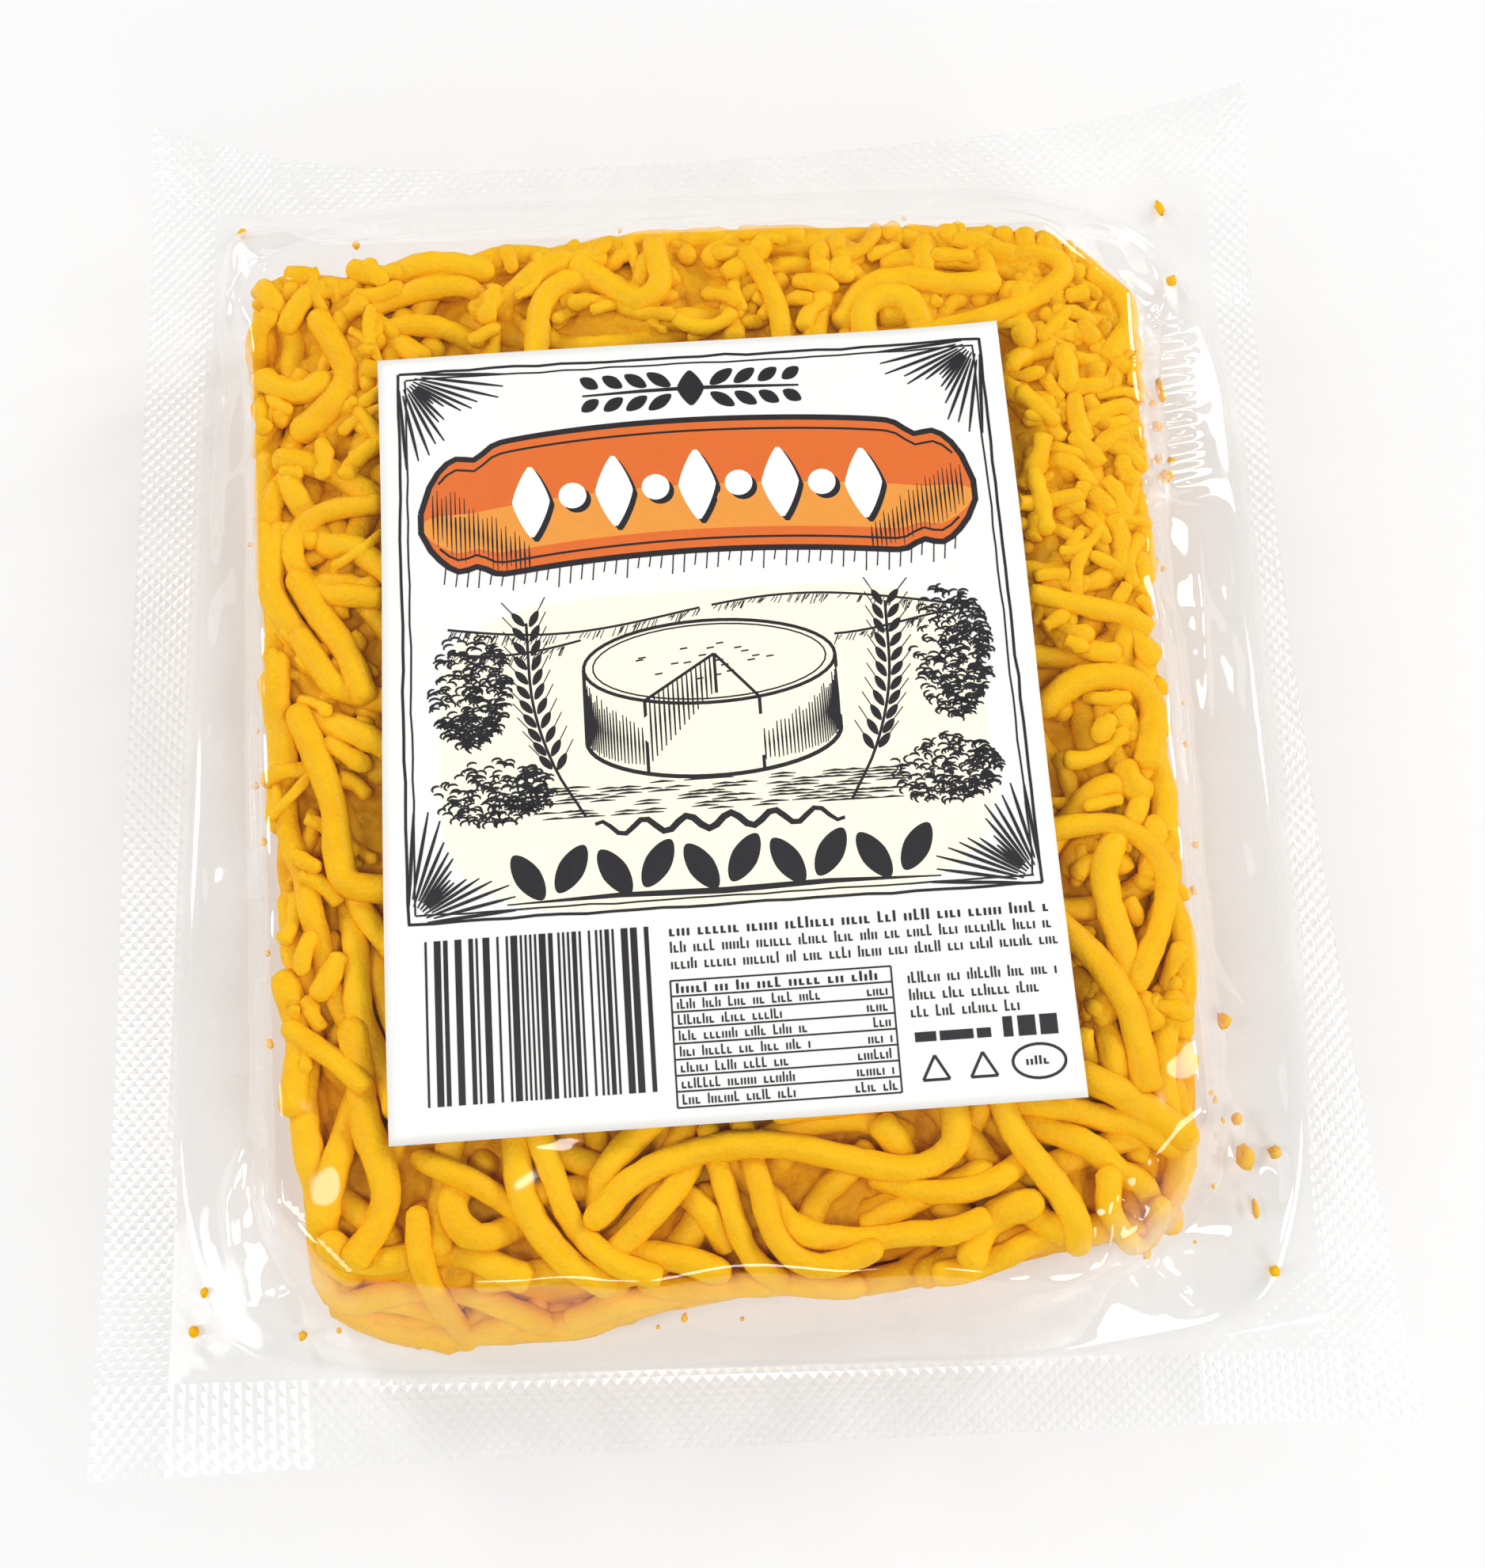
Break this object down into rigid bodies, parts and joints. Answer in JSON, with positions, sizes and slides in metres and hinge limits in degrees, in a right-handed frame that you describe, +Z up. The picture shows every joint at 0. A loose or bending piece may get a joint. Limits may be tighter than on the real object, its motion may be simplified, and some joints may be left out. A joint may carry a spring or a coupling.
{
  "type": "bag of shredded cheddar",
  "caption": "Clear sealed bag of shredded cheddar lying flat: a formed pocket packed with soft noodle-like shreds, a crimped seal all round and a paper label on top.",
  "frame": {"origin": "middle of the base that the bag lies on", "axes": "+Z up out of the labelled face, +Y along the bag towards its back seal, +X to the right of the label as it is read"},
  "size_m": [0.152, 0.176, 0.0171],
  "materials": {
    "film": "clear glossy film over yellow shreds, whitened where it is crimped",
    "cheese": "deep yellow, slightly moist and waxy",
    "paper": "satin coated paper, printed"
  },
  "bodies": {
    "root": {"bag": "film", "label": "paper"}
  },
  "joints": []
}
